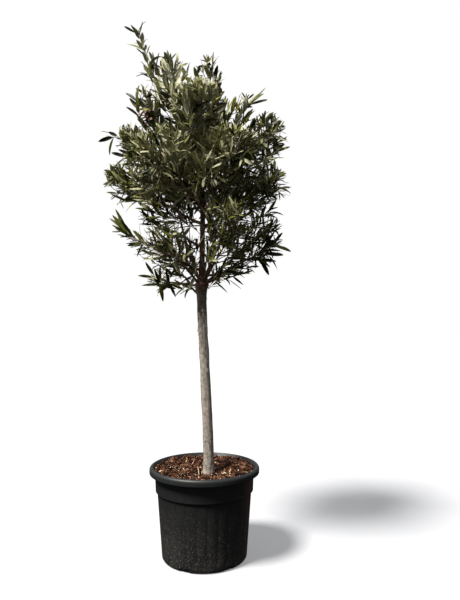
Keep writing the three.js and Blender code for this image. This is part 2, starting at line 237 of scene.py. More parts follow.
def wrapped(turn, whole=2 * np.pi):
    # The same turn counted from the middle, both ways
    return (turn + whole / 2) % whole - whole / 2


def tubeFaces(count, rings, sides):
    # Faces of closed tubes, each of whose points lie ring by ring and then its two end points
    side = np.arange(sides)
    after = (side + 1) % sides
    ring = np.arange(rings - 1)[:, None] * sides
    walls = np.stack([ring + side, ring + after, ring + sides + after, ring + sides + side], -1)
    end, last, none = 0 * side + rings * sides, (rings - 1) * sides, 0 * side - 1
    foot = np.stack([end, after, side, none], -1)
    tip = np.stack([end + 1, last + side, last + after, none], -1)
    one = np.vstack([walls.reshape(-1, 4), foot, tip])
    shift = (np.arange(count) * (rings * sides + 2))[:, None, None]
    return np.where(one[None] < 0, -1, one[None] + shift).reshape(-1, 4)


def tubeSkin(paths, radii, sides):
    # Round limbs: at each point of a path a ring stands across it, its radius given there or all round.
    # The ring starts from one fixed direction for each path, so that it doesn't twist.
    ahead = unit(np.gradient(paths, axis=1))
    whole = unit(paths[:, -1] - paths[:, 0])
    fixed = np.where(np.abs(whole[:, 2:]) > 0.8, [[0.0, 1.0, 0.0]], [[0.0, 0.0, 1.0]])[:, None, :]
    normal = unit(fixed - ahead * (fixed * ahead).sum(-1, keepdims=True))
    across = np.cross(ahead, normal)
    turn = turns(sides)[:, None]
    if radii.ndim == 2:
        radii = radii[:, :, None]
    out = normal[:, :, None] * np.cos(turn) + across[:, :, None] * np.sin(turn)
    rings = paths[:, :, None] + out * (radii * np.ones(sides))[..., None]
    count = len(paths)
    points = np.concatenate([rings.reshape(count, -1, 3), paths[:, [0, -1]]], axis=1)
    return points.reshape(-1, 3), tubeFaces(count, paths.shape[1], sides)


def turnedSkin(radius, height):
    # A closed shape turned round Z: rows run from the middle of the underside to the middle of the top
    rows, columns = radius.shape
    turn = turns(columns)
    points = np.stack([radius * np.cos(turn), radius * np.sin(turn), height], -1).reshape(-1, 3)
    ends = np.array([[0, 0, height[0].mean()], [0, 0, height[-1].mean()]])
    return np.vstack([points, ends]), tubeFaces(1, rows, columns)


def joined(parts):
    # Meshes one after the other, each one's corners moved on by the points before it
    points, faces, kinds, before = [], [], [], 0
    for kind, (some, corners) in parts:
        points.append(some)
        faces.append(np.where(corners < 0, -1, corners + before))
        kinds.append(np.full(len(corners), kind))
        before += len(some)
    return np.vstack(points), np.vstack(faces), np.concatenate(kinds)


# Camera and light

camera = dict(
    focal=520, middle=230, horizon=328, potAxis=204.6, height=600,  # the photograph's pixels
    distance=1.524, eyeHeight=0.6657, sensor=36,
)


def addCamera():
    # Level, with the horizon put where the photograph has it by a shift
    data = bpy.data.cameras.new("camera")
    data.sensor_fit = "AUTO"
    data.sensor_width = camera["sensor"]
    data.lens = camera["focal"] / camera["height"] * camera["sensor"]
    data.shift_y = (camera["horizon"] - camera["height"] / 2) / camera["height"]
    aside = (camera["middle"] - camera["potAxis"]) / camera["focal"] * camera["distance"]
    eye = addObject("camera", data)
    eye.location = (aside, -camera["distance"], camera["eyeHeight"])
    eye.rotation_euler = (np.pi / 2, 0, 0)
    bpy.context.scene.camera = eye


studio = dict(
    floorRadius=60, floorThickness=0.001, floor="#a8abb1", floorGlow=0.24,
    sunWay=(0.60, 0.46, -1.1),  # which way the light travels
    sunStrength=7.5, sunColour="#fffaf2", sunSpread=15,  # degrees: a soft edge on the floor
    white=(1, 1, 1, 1), backdrop=1.0, skyLight=0.34, groundLight=0.035,
)


def paintFloor(tree, place, colour):
    # Matt paper: no sheen, with a mottle too faint to see
    tone = addRange(tree, addNoise(tree, place, 400), 0, 1, 0.98, 1)
    return {**sockets(addMix(tree, 1, colour, tone, "MULTIPLY"), 0.95, 0.1),
            "Emission Color": studio["white"], "Emission Strength": studio["floorGlow"]}


def addFloor():
    # A wide disc whose top is at height 0
    columns = np.ones(96)
    radius = np.array([0.5, 1, 1, 0.5])[:, None] * studio["floorRadius"] * columns
    height = np.array([-1, -1, 0, 0])[:, None] * studio["floorThickness"] * columns
    floor = addPiece("floor", *turnedSkin(radius, height), [("matt_paper", paintFloor, studio["floor"])],
                     sharpEdges=allSharp)
    floor.visible_diffuse = False  # so white paper under the tree doesn't light it from below
    floor.visible_glossy = False


def addLight():
    # A sun with a soft edge, and a world that lights the tree from above
    sun = bpy.data.lights.new("sun", "SUN")
    sun.energy = studio["sunStrength"]
    sun.color = linear(studio["sunColour"])[:3]
    sun.angle = np.radians(studio["sunSpread"])
    east, north, down = studio["sunWay"]
    lamp = addObject("sun", sun)
    lamp.rotation_euler = (np.arctan2(np.hypot(east, north), -down), 0, np.arctan2(-east, north))
    world = bpy.data.worlds.new("studio")
    world.use_nodes = True
    tree = world.node_tree
    tree.nodes.clear()
    # The dome is bright above and dark below, and the camera sees a plain white backdrop instead
    way = addNode(tree, "TexCoord").outputs["Generated"]
    rise = addNode(tree, "SeparateXYZ", {0: way}).outputs["Z"]
    dome = addRange(tree, rise, -0.15, 0.35, studio["groundLight"], studio["skyLight"])
    cast, shown = (addNode(tree, "Background", {"Color": studio["white"], "Strength": strength}).outputs[0]
                   for strength in (dome, studio["backdrop"]))
    seen = addNode(tree, "LightPath").outputs["Is Camera Ray"]
    both = addNode(tree, "MixShader", {0: seen, 1: cast, 2: shown}).outputs[0]
    addNode(tree, "OutputWorld", {"Surface": both})
    bpy.context.scene.world = world
    bpy.context.scene.view_settings.view_transform = "Standard"


addCamera()
addFloor()
addLight()
print("camera and studio made")


# The container

pot = dict(
    height=0.265, wall=0.003, lipRadius=0.160, lipDepth=0.019, lipRound=0.008,
    crestRadius=0.154, crestRound=0.0045, hookRound=0.003,
    throatRadius=0.146,  # inside, where the wall flares out to the lip
    bandTopRadius=0.144, bandFootRadius=0.142, bandDepth=0.069, flareFoot=0.249,
    wallTopRadius=0.137, footRadius=0.124, cornerRadius=0.009, columns=360,
    underside=(0.02, 0.06, 0.09, 0.107, 0.1085, 0.1095, 0.111),
    flutes=28, fluteDepth=0.0009,
    notches=6, notchWidth=0.026, notchHeight=0.0095, notchFrom=0.1155, notchTurn=6,
    pocketTurn=-42, pocketWidth=0.017, pocketHeight=0.019, pocketDepth=0.0014,  # under the band
)


def arc(middleRadius, middleHeight, radius, start, end, steps):
    # Points of a round corner, from one angle in degrees to another: radius from the axis, and height
    turn = np.radians(np.linspace(start, end, steps))
    return [(middleRadius + radius * np.cos(a), middleHeight + radius * np.sin(a)) for a in turn]


def potProfile():
    # From the underside out, up the fluted wall, over the step and the band, round the hooked lip and down
    # inside. Returns it with the number of its points on the outside.
    height, wall, corner, foot, lip = (
        pot[key] for key in ("height", "wall", "cornerRadius", "footRadius", "lipRadius"))
    wallTop, bandFoot, bandTop, throat = (
        pot[key] for key in ("wallTopRadius", "bandFootRadius", "bandTopRadius", "throatRadius"))
    step, lipFoot = height - pot["bandDepth"], height - pot["lipDepth"]
    hook, lipRound, crest = pot["hookRound"], pot["lipRound"], pot["crestRound"]
    outside = [
        *((radius, 0) for radius in pot["underside"]),
        *arc(foot - corner, corner, corner, -90, -5, 8),
        *((between(foot, wallTop, t), between(corner, step - 0.004, t)) for t in np.linspace(0.02, 1, 16)),
        (wallTop + 0.0005, step - 0.002), (bandFoot - 0.0016, step - 0.0012),
        *arc(bandFoot - 0.001, step + 0.0004, 0.001, -80, 0, 4),
        *((between(bandFoot, bandTop, t), between(step + 0.002, pot["flareFoot"], t))
          for t in np.linspace(0, 1, 7)),
        (throat + wall, height - 0.0075),
        *arc(lip - wall - hook, height - 0.0095, hook, 90, 0, 4),
        *arc(lip - wall / 2, lipFoot + wall / 2, wall / 2, 180, 360, 7),
        *arc(lip - lipRound, height - lipRound, lipRound, 0, 62, 8),
        *arc(pot["crestRadius"] - 0.001, height - crest, crest, 78, 160, 8)]
    inside = [(throat + 0.0012, height - 2 * wall), (throat, height - 2.6 * wall),
              (bandTop - wall, height - 5 * wall), (bandFoot - wall, step + 0.004), (wallTop - wall, step),
              (foot - wall, corner), (foot - corner, wall), (0.03, wall)]
    return np.array(outside + inside), len(outside)


def potSurface():
    # The profile turned round the axis. The flutes go in by 2 * depth * (1 - |cos(flutes * turn / 2)|^0.6) on
    # the lower wall, the notches lift the heel at even turns, and the pocket is pressed in under the band.
    profile, outside = potProfile()
    turn = turns(pot["columns"])
    radius, height = (profile[:, axis:axis + 1] * np.ones(pot["columns"]) for axis in (0, 1))
    outer = np.arange(len(profile))[:, None] < outside
    step = pot["height"] - pot["bandDepth"]
    fluted = outer * smoothStep(height, 0.012, 0.03) * (1 - smoothStep(height, step - 0.03, step - 0.006))
    wave = np.abs(np.cos(pot["flutes"] / 2 * turn)) ** 0.6
    radius = radius - pot["fluteDepth"] * (1 - wave) * 2 * fluted
    pitch = 2 * np.pi / pot["notches"]
    first = np.radians(pot["notchTurn"] - 90 + 180 / pot["notches"])
    aside = np.abs(wrapped(turn - first, pitch)) * pot["footRadius"]
    notch = 1 - smoothStep(aside, pot["notchWidth"] / 2 - 0.0006, pot["notchWidth"] / 2 + 0.0016)
    inReach = outer & (radius > pot["notchFrom"]) & (height < pot["notchHeight"])
    height = np.where(inReach, between(height, pot["notchHeight"], notch), height)
    aside = np.abs(wrapped(turn - np.radians(pot["pocketTurn"]))) * pot["bandFootRadius"]
    pressed = 1 - smoothStep(aside, pot["pocketWidth"] / 2 - 0.001, pot["pocketWidth"] / 2 + 0.001)
    pressed = pressed * smoothStep(height, step + 0.001, step + 0.003)
    pocketTop = step + pot["pocketHeight"]
    pressed = pressed * (1 - smoothStep(height, pocketTop - 0.002, pocketTop))
    return turnedSkin(radius - pot["pocketDepth"] * pressed * outer, height)


def paintPolypropylene(tree, place):
    # Moulded black polypropylene: near black with a low satin gloss and a fine grain, with a paler bluish
    # painted highlight on the rim, a brown painted reflection on the right side and pale specks splashed and
    # dried on the lower wall
    apart = addNode(tree, "SeparateXYZ", {0: place})
    height = apart.outputs["Z"]
    specks = addRange(tree, addNoise(tree, place, 3.4, 2, 0.7), 0.585, 0.66)
    film = addRange(tree, addNoise(tree, place, 60, 5, 0.65), 0.4, 0.75, 0, 0.07)
    dust = addMath(tree, "MULTIPLY_ADD", specks, 0.5, film)
    splashed = addMath(tree, "MULTIPLY", dust, addRange(tree, height, 0.20, 0.03), clamp=True)
    # The rim is painted a paler bluish grey: a painted highlight
    rimHighlighted = addMix(tree, addRange(tree, height, 0.243, 0.25), "#18191a", "#212325")
    # A brown painted reflection on the right side of the wall, below the rim
    reflectionSide = addRange(tree, apart.outputs["X"], 0.108, 0.134, 0, 0.5)
    paintedReflection = addMath(tree, "MULTIPLY", reflectionSide, addMath(tree, "LESS_THAN", height, 0.245))
    withReflection = addMix(tree, paintedReflection, rimHighlighted, "#5c4534")
    scuffs = addNoise(tree, place, 16, 4)
    grain = addBump(tree, addNoise(tree, place, 1.6), 0.35, 0.0004)
    return {**sockets(addMix(tree, splashed, withReflection, "#8a8781"), addRange(tree, scuffs, 0, 1, 0.36, 0.6), 0.42,
                      grain), "IOR": 1.49}


addPiece("nursery_pot", *potSurface(), [("moulded_polypropylene", paintPolypropylene)], slot="pot",
         stands=["pot"])
print("pot made")


# Compost with bark chips, fibres and straw

compost = dict(
    stemHeight=0.241, wallHeight=0.2565, flatRadius=0.042, wallRadius=0.1448, columns=220,
    gap=0.0003,  # a hair's breadth from the pot's wall
    lumps=[(0.024, 0.0050, 3), (0.010, 0.0038, 4)],  # size, height and seed
    chips=3300, chipLength=(0.0022, 0.0085), chipSpread=0.1418,
    chipLift=0.0042,  # how high some of them lie on others
    fibres=220, straws=80,
)


def compostTop(x, y):
    # A dish from the stem up to the wall, with lumps of value noise
    run = np.hypot(x, y)
    dish = smoothStep(run, compost["flatRadius"], compost["wallRadius"] - 0.01)
    top = between(compost["stemHeight"], compost["wallHeight"], dish)
    spot = np.stack([x, y, 0 * x], -1)
    for size, lift, seed in compost["lumps"]:
        top = top + lift * (valueNoise(spot, size, seed) - 0.5)
    return top - 0.001 * smoothStep(run, compost["wallRadius"] - 0.003, compost["wallRadius"])


def compostSurface():
    # The pot's inner wall less the gap, closed by the lumpy top
    gap, corner, columns = compost["gap"], pot["cornerRadius"], np.ones(compost["columns"])
    wall = pot["wall"]
    sideRadius, sideHeight = np.array([
        (0.03, wall + gap), (pot["footRadius"] - corner, wall + gap),
        (pot["footRadius"] - wall - gap, corner),
        (pot["wallTopRadius"] - wall - gap, pot["height"] - pot["bandDepth"]),
        (pot["bandTopRadius"] - wall - gap, pot["height"] - 5 * wall - 0.001)]).T
    turn = turns(compost["columns"])
    topRadius = np.linspace(compost["wallRadius"], 0.001, 90)
    top = compostTop(topRadius[:, None] * np.cos(turn), topRadius[:, None] * np.sin(turn))
    return turnedSkin(np.concatenate([sideRadius, topRadius])[:, None] * columns,
                      np.vstack([sideHeight[:, None] * columns, top]))


def turnedFrames(heading, tilt, roll):
    # Three axes for each small thing: turned to its heading, tipped up, and rolled about its length
    along = np.stack([np.cos(heading) * np.cos(tilt), np.sin(heading) * np.cos(tilt), np.sin(tilt)], -1)
    level = np.stack([-np.sin(heading), np.cos(heading), 0 * heading], -1)
    across = level * np.cos(roll)[:, None] + np.cross(along, level) * np.sin(roll)[:, None]
    return along, across, np.cross(along, across)


def chipSkin(count, random):
    # Splinters: boxes whose corners are pushed about by a third, scattered evenly over the compost
    corners = np.array([[x, y, z] for x in (-1, 1) for y in (-1, 1) for z in (-1, 1)]) / 2
    run = compost["chipSpread"] * np.sqrt(random.random(count))
    where = random.random(count) * 2 * np.pi
    x, y = run * np.cos(where), run * np.sin(where)
    length = between(*compost["chipLength"], random.random(count) ** 2.2)
    size = np.stack([length, length * (0.3 + 0.4 * random.random(count)), 0.0008 + 0.22 * length], -1)
    box = (corners + 0.36 * (random.random((count, 8, 3)) - 0.5)) * size[:, None]
    tilt = random.normal(0, 0.45, count)
    frames = turnedFrames(random.random(count) * 2 * np.pi, tilt, random.normal(0, 0.5, count))
    height = compostTop(x, y) + 0.2 * size[:, 2] + compost["chipLift"] * random.random(count) ** 2
    points = np.stack([x, y, height], -1)[:, None] + sum(
        box[..., axis:axis + 1] * way[:, None] for axis, way in enumerate(frames))
    one = np.array([[0, 1, 3, 2], [4, 6, 7, 5], [0, 4, 5, 1], [2, 3, 7, 6], [0, 2, 6, 4], [1, 5, 7, 3]])
    return points.reshape(-1, 3), (one + 8 * np.arange(count)[:, None, None]).reshape(-1, 4)


def strandSkin(x, y, length, heading, tilt, bend, thick):
    # Thin strands lying on the compost, each an arc whose ends turn by bend about the upright
    s = np.linspace(-0.5, 0.5, 7)
    way = heading[:, None] + bend[:, None] * s
    step = np.stack([np.cos(way), np.sin(way), np.tan(tilt)[:, None] * np.ones(7)], -1)
    path = np.cumsum(step, axis=1) * (length / 7)[:, None, None]
    path = path - path.mean(1, keepdims=True)
    path = path + np.stack([x, y, compostTop(x, y)], -1)[:, None]
    path[..., 2] += np.maximum(0, 0.5 * length * np.sin(np.abs(tilt)))[:, None] + thick[:, None]
    return tubeSkin(path, thick[:, None] * (1 - 0.75 * (2 * np.abs(s)) ** 3), 4)


# Straws that the eye finds first: x, y, length, heading, tilt, thickness
placedStraws = np.array([
    [-0.0165, -0.018, 0.017, 1.9, 1.05, 0.0011], [-0.0075, -0.024, 0.014, 1.2, 0.75, 0.0010],
    [0.062, -0.030, 0.022, 2.5, 0.25, 0.0013], [0.074, -0.022, 0.019, 1.1, 0.55, 0.0012],
    [0.080, -0.036, 0.026, -0.35, 0.12, 0.0011], [0.098, -0.030, 0.015, 1.3, 0.35, 0.0012],
    [-0.102, -0.004, 0.012, 0.6, 0.4, 0.0016], [-0.040, 0.062, 0.020, 1.0, 0.6, 0.0009],
])


def compostBits():
    # Chips with their finishes dealt out by patches, fibres, and straws
    random = np.random.default_rng(17)
    count = compost["chips"]
    points, faces = chipSkin(count, random)
    patch = valueNoise(points[::8], 0.011, 9) + 0.55 * random.random(count)
    kinds = np.searchsorted([0.46, 0.78], np.argsort(np.argsort(patch)) / count)
    kinds[random.random(count) < 0.022] = 3

    def scattered(count, lengths, thicks):
        # Strands at chance places, evenly over the compost
        run = compost["chipSpread"] * np.sqrt(random.random(count)) * 0.97
        where = random.random(count) * 2 * np.pi
        length = between(*lengths, random.random(count) ** 1.5)
        run = np.minimum(run, compost["wallRadius"] - 0.004 - length / 2)
        thick = between(*thicks, random.random(count))
        return strandSkin(run * np.cos(where), run * np.sin(where), length, random.random(count) * 6.3,
                          random.normal(0, 0.16, count), random.normal(0, 0.9, count), thick)

    fibres = scattered(compost["fibres"], (0.008, 0.024), (0.0003, 0.0006))
    straws = scattered(compost["straws"], (0.006, 0.018), (0.0004, 0.0009))
    x, y, length, heading, tilt, thick = placedStraws.T
    placed = strandSkin(x, y, length, heading, tilt, 0.3 + 0 * x, thick)
    return (points, faces, np.repeat(kinds, 6)), fibres, joined([(0, straws), (0, placed)])[:2]


def paintCompost(tree, place, dark, light):
    # Damp composted bark: dull crumbs from near black to red-brown, no gloss
    colour, crumbs = addTwoTone(tree, place, dark, light, 4, 6, 0.7, 0.35, 0.68)
    return sockets(colour, 0.95, 0.15, addBump(tree, crumbs, 0.8, 0.0012))


def paintFibrous(tree, place, dark, light):
    # Split bark and straw: torn along the grain, so it is streaked, with a dry dull face
    colour, streaks = addTwoTone(tree, place, dark, light, 1.8, 3)
    return sockets(colour, 0.85, 0.15, addBump(tree, streaks, 0.5, 0.0004))


addPiece("compost", *compostSurface(), [("composted_bark", paintCompost, "#0f0906", "#2f1c14")],
         slot="soil", stands=["soil"])
chips, fibres, straws = compostBits()
chipTones = [("dark", "#080403", "#1b100b"), ("red", "#3d2116", "#6e412a"), ("brown", "#5c4031", "#8f6c55"),
             ("pale", "#a08a70", "#ddcdb2")]
addPiece("bark_chips", *chips[:2],
         [(f"bark_chip_{tone}", paintFibrous, dark, light) for tone, dark, light in chipTones],
         chips[2], allSharp, slot="soil")
addPiece("root_fibres", *fibres, [("root_fibre", paintFibrous, "#5a3826", "#a07a58")], slot="soil")
addPiece("straws", *straws, [("dry_straw", paintFibrous, "#c4ab86", "#eee0c4")], slot="soil")
print("compost made")


# The stem

stem = dict(
    foot=0.2413, sunk=0.010,  # its foot's height, and how far it goes on into the compost
    centre=inMillimetres(12, 0, 0, 11, 1, 75, 5, 2, 220, -4, 1, 400, -9, 0, 530, -9, 0, 566),
    radius=[(-0.010, 0.0205), (0, 0.0186), (0.010, 0.0170), (0.028, 0.0160), (0.075, 0.0156),
            (0.220, 0.0148), (0.340, 0.0143), (0.408, 0.0140), (0.418, 0.0150), (0.432, 0.0140),
            (0.500, 0.0138), (0.525, 0.0150), (0.542, 0.0182), (0.553, 0.0186), (0.562, 0.0135),
            (0.566, 0.0070)],  # at heights above the foot
    rings=260, sides=84, fissure=0.0005, lump=0.0011, swelling=0.05, swellHeight=0.022,
    knots=[  # height above the foot, heading in degrees, size, how far it stands out
        (0.417, 186, 0.0050, 0.0034), (0.404, 192, 0.0035, 0.0022), (0.300, 318, 0.0060, 0.0010),
        (0.352, 70, 0.0070, 0.0016), (0.175, 130, 0.0080, 0.0014), (0.118, 24, 0.0060, 0.0010),
        (0.470, 250, 0.0055, 0.0013), (0.236, 215, 0.0045, 0.0007), (0.510, 20, 0.0060, 0.0018),
        (0.545, 250, 0.0075, 0.0030), (0.538, 310, 0.0065, 0.0024), (0.548, 130, 0.0080, 0.0030),
    ],
)


def stemCentre(height):
    # The centre line's point at heights above the foot
    line = smoothThrough(stem["centre"], 200)
    return np.column_stack([pointsAt(height, line[:, 2], line[:, :2]), height])


def stemSurface():
    # Level rings up the centre line. The radius is the stem's own, plus root swellings that die away upwards,
    # upright fissures and slow lumps of value noise, and each knot as a rounded bump.
    height = np.linspace(-stem["sunk"], stem["centre"][-1, 2], stem["rings"])
    even = np.interp(height, *np.array(stem["radius"]).T)
    window = np.hanning(11)
    even = np.convolve(np.pad(even, 5, "edge"), window / window.sum(), "valid")
    level, around = np.meshgrid(height, turns(stem["sides"]), indexing="ij")
    swell = np.cos(3 * around + 0.6) + 0.6 * np.cos(5 * around + 2.1)
    swell = np.exp(-(level + stem["sunk"]) / stem["swellHeight"]) * swell
    radius = even[:, None] * (1 + stem["swelling"] * swell)
    spot = np.stack([np.cos(around), np.sin(around), level / 0.15], -1)
    radius += stem["fissure"] * (valueNoise(spot, 0.16, 1) - 0.5) * 1.6
    radius += stem["fissure"] * (valueNoise(spot, 0.34, 2) - 0.5) * 2.2
    radius += stem["lump"] * (valueNoise(spot * [1, 1, 3], 0.9, 5) - 0.5)
    for knotHeight, heading, size, lift in stem["knots"]:
        away = np.hypot(wrapped(around - np.radians(heading)) * 0.015, level - knotHeight) / size
        radius += lift * (np.exp(-(away**2) * 1.6) - 0.35 * np.exp(-(away**2) * 14))
    centre = stemCentre(height)
    out = np.stack([np.cos(around), np.sin(around), 0 * around], -1)
    rings = centre[:, None] + out * radius[..., None]
    points = np.vstack([rings.reshape(-1, 3), centre[:1], centre[-1:] + [[0, 0, 0.002]]])
    return points + [0, 0, stem["foot"]], tubeFaces(1, stem["rings"], stem["sides"])


def paintStemBark(tree, place):
    # Young olive bark: smooth and dull, pale grey-beige with fine upright streaks and small corky dots, paler
    # upwards by painted light against the crown's shade. At the head it turns dark grey-brown, with pale
    # tongues of the old colour running up into it.
    height = addNode(tree, "SeparateXYZ", {0: place}).outputs["Z"]
    tall = addNode(tree, "Mapping", {"Vector": place, "Scale": (1, 1, 0.7)}).outputs[0]
    pale, streaks = addTwoTone(tree, tall, "#57504a", "#c3bab0", 8, 6, 0.75, 0.36, 0.64)
    mottle = addRange(tree, addNoise(tree, place, 26, 4), 0.35, 0.7, 0, 0.5)
    worn = addMix(tree, mottle, pale, "#a1978b")
    # Painted light: lighter upwards, against the shade the crown casts on the upper stem
    paintedLightUpwards = addMix(tree, 1, worn, addRange(tree, height, 0.46, 0.66, 0.79, 1.42), "MULTIPLY")
    wavy = addMath(tree, "MULTIPLY_ADD", addNoise(tree, tall, 11), 0.16, height)
    darkBark = addMix(tree, streaks, "#433d38", "#8a8076")
    aged = addMix(tree, addRange(tree, wavy, 0.775, 0.797), paintedLightUpwards, darkBark)
    headed = addMix(tree, addRange(tree, height, 0.765, 0.79, 0, 0.75), aged, "#765543")
    dotted = addDots(tree, place, headed, "#4c4239", 8, 0.16, 0.55)
    return sockets(dotted, 0.86, 0.25, addBump(tree, streaks, 0.7, 0.0007))


addPiece("stem_bark", *stemSurface(), [("young_olive_bark", paintStemBark)], slot="bark", stands=["trunk"])
print("stem made")


# The leader and the boughs

leader = dict(
    centre=inMillimetres(-9, 0, 780, -7, 2, 900, -6, 4, 1030, -12, 6, 1190),
    footRadius=0.0095, tipRadius=0.0042, rings=120, sides=22, sunk=0.012,
)
headHeight = 0.792
crown = [  # name, heading in degrees from +X, then in mm: height of the fork, reach, top and spread
    ("spire", 177, 1155, 210, 1578, 46), ("top_left", 208, 1115, 112, 1452, 78),
    ("crest", 18, 1190, 24, 1474, 62), ("top_right", 350, 1098, 146, 1348, 60),
    ("left_top", 190, 1078, 184, 1368, 66), ("right_upper", 9, 1040, 238, 1296, 96),
    ("right_middle", 350, 958, 244, 1116, 126), ("left_upper", 183, 1040, 240, 1246, 86),
    ("left_middle", 179, 972, 286, 1128, 96), ("front_upper", 268, 1074, 146, 1336, 108),
    ("front_right", 304, 1002, 246, 1170, 125), ("front_left", 232, 1018, 250, 1160, 125),
    ("back_upper", 85, 1090, 132, 1366, 110), ("back_left", 132, 1026, 254, 1160, 125),
    ("back_right", 50, 990, 254, 1168, 125), ("right_low", 355, 792, 226, 984, 104),
    ("left_low", 179, 835, 262, 962, 54), ("left_inner", 178, 905, 188, 1008, 64),
    ("left_under", 186, 792, 160, 800, 54), ("right_under", 347, 792, 240, 916, 54),
    ("front_low", 298, 792, 214, 1000, 105), ("front_left_low", 232, 792, 208, 930, 95),
    ("back_low", 62, 792, 214, 1005, 105), ("back_left_low", 128, 792, 214, 940, 95),
]
crownNames = [row[0] for row in crown]
bough = dict(
    share=0.27,  # of the way to the furthest leaf, before the foliage takes over
    footRadius=0.0045, tipRadius=0.0030, arch=0.06, rings=26, sides=12,
    collar=0.45,  # how much wider it is where it leaves the wood it grows from
)
barrel = dict(halfShare=0.58, power=4, taper=0.3)
looseLimbs = [  # those that the eye finds below the foliage: radius at foot and tip, and points in mm
    (0.0044, 0.0022, -12, -8, 796, -34, -14, 858, -53, -16, 915, -72, -16, 991, -84, -12, 1070),
    (0.0022, 0.0013, -7, 1, 966, -40, -12, 962, -93, -18, 953),
    (0.0022, 0.0012, -7, 1, 966, 18, -10, 972, 42, -14, 982),
    (0.0024, 0.0013, -6, 3, 1010, 16, -8, 1017, 66, -16, 1028),
    (0.0034, 0.0016, -10, -6, 800, -45, -30, 850, -75, -34, 905, -85, -30, 960),
]


def leaderAt(height):
    # Where the leader's centre line passes a height
    return pointsAt(height, leader["centre"][:, 2], leader["centre"])


def layOut(name, heading, *sizes):
    # Where a bough starts, where it hands over to its foliage, and the barrel that the foliage keeps to
    fork, reach, top, spread = np.array(sizes) / 1000
    turn = np.radians(heading)
    start, foot = leaderAt(fork), leader["centre"][0]
    far = np.array([foot[0] + reach * np.cos(turn), foot[1] + reach * np.sin(turn), top])
    tip = start + bough["share"] * (far - start)
    axis = unit(far - tip)
    half = np.linalg.norm(far - tip) * barrel["halfShare"]
    return {"start": start, "far": far, "tip": tip, "axis": axis, "spread": spread, "half": half,
            "centre": far - axis * half}


laidOut = [layOut(*row) for row in crown]
masses = {key: np.array([mass[key] for mass in laidOut]) for key in laidOut[0]}


def leaderLine():
    # Its centre line, which starts deeper in the head by sunk * (1 - s)^6
    line = smoothThrough(leader["centre"], leader["rings"])
    line[:, 2] -= leader["sunk"] * (1 - np.linspace(0, 1, leader["rings"])) ** 6
    return line


def boughLines():
    # From the leader towards the furthest leaf, hanging below the straight by arch * 4 s (1 - s)
    s = np.linspace(0, 1, bough["rings"])[:, None]
    lines = []
    for start, tip in zip(masses["start"], masses["tip"]):
        sag = bough["arch"] * np.linalg.norm(tip - start) * 4 * s * (1 - s)
        lines.append(start + (tip - start) * s - sag * skyward)
    return np.array(lines)


def relief(paths, radii, sides, share, seed):
    # Tubes that are never true: each radius is made more or less by this share of value noise
    turn = turns(sides)
    bump = radii[:, :, None] * np.stack([np.cos(turn), np.sin(turn)], 0)[:, None, None]
    spot = paths[:, :, None] + np.moveaxis(bump, 0, -1)[..., [0, 1, 1]]
    radii = radii[:, :, None] * (1 + share * (valueNoise(spot, 0.011, seed) - 0.5)
                                 + share * (valueNoise(spot, 0.004, seed + 1) - 0.5))
    return tubeSkin(paths, radii, sides)


def limbSurface():
    # The loose limbs, the leader and the boughs. A bough's foot is wider by collar * e^(-9 t).
    line = leaderLine()
    leaderRadius = between(leader["footRadius"], leader["tipRadius"], np.linspace(0, 1, leader["rings"]))
    for fork in masses["start"][:, 2]:  # a swelling where each bough leaves
        leaderRadius = leaderRadius * (1 + 0.14 * np.exp(-(((line[:, 2] - fork) / 0.008) ** 2)))
    boughs = boughLines()
    t = np.linspace(0, 1, bough["rings"])
    boughRadius = between(bough["footRadius"], bough["tipRadius"], t) * (1 + bough["collar"] * np.exp(-t * 9))
    boughRadius = boughRadius * np.ones((len(boughs), 1))
    loose = np.array([smoothThrough(inMillimetres(*limb[2:]), bough["rings"]) for limb in looseLimbs])
    looseRadius = np.array([between(*limb[:2], t) for limb in looseLimbs])
    return joined([
        (0, relief(loose, looseRadius, bough["sides"], 0.2, 15)),
        (0, relief(line[None], leaderRadius[None], leader["sides"], 0.16, 11)),
        (0, relief(boughs, boughRadius, bough["sides"], 0.2, 13)),
    ])[:2]


def paintYoungBark(tree, place, dark, light, dot):
    # Bark of limbs a few years old: red-brown and dull under a thin grey skin, with pale corky dots
    bare, skin = addTwoTone(tree, place, dark, light, 9, 5, 0.65, 0.35, 0.68)
    return sockets(addDots(tree, place, bare, dot, 5, 0.2, 0.6), 0.8, 0.3, addBump(tree, skin, 0.6, 0.0006))


addPiece("limb_bark", *limbSurface(), [("red_brown_bark", paintYoungBark, "#583a2d", "#91705e", "#a8937f")],
         slot="young_bark", stands=["leader"] + [f"bough_{name}" for name in crownNames])
print("limbs made")


# The crown: each mass's stem, twigs and side shoots

shoots = dict(
    stemShare=0.86,  # of the way from the bough's tip to the furthest leaf
    stemRadius=0.0034, twigRadius=0.0019, sideRadius=0.0012, tipRadius=0.0007,
    bend=0.03, bow=0.085,  # how far a stem bends by chance, and a steep one outwards before it turns up
    every=0.0115, everyLow=0.0165,  # between twigs up a stem, and on boughs from the head
    twigFrom=0.05, twigTo=0.95, jitter=0.6, turnJitter=0.5,
    lean=1.05, leanLoss=0.3,  # radians out of the stem at its foot, and how much less at its tip
    lift=0.2, rise=0.35, riseHigh=0.9,  # how far a shoot turns up, and in a mass that points up
    twigLongest=0.17, sideLongest=0.080, shortest=0.026,
    sideFrom=0.25, sideRun=0.65, sideEvery=0.021, sideLean=0.85,
    leafRoom=0.022,  # left between a shoot's tip and the edge of its space
    pathPoints=10,
)
goldenAngle = np.radians(137.5)
openMasses = {  # those whose single shoots show against the sky, and how many twigs they have
    "spire": 6, "top_left": 9, "crest": 11, "top_right": 10, "left_top": 8, "left_low": 9, "left_inner": 8,
    "left_under": 5, "right_under": 10, "front_left_low": 7,
}
hanging = "left_under"  # the one bough that hangs below the crown's underside
underside = dict(height=0.803, rise=0.5, riseFrom=0.09, riseRun=0.07)


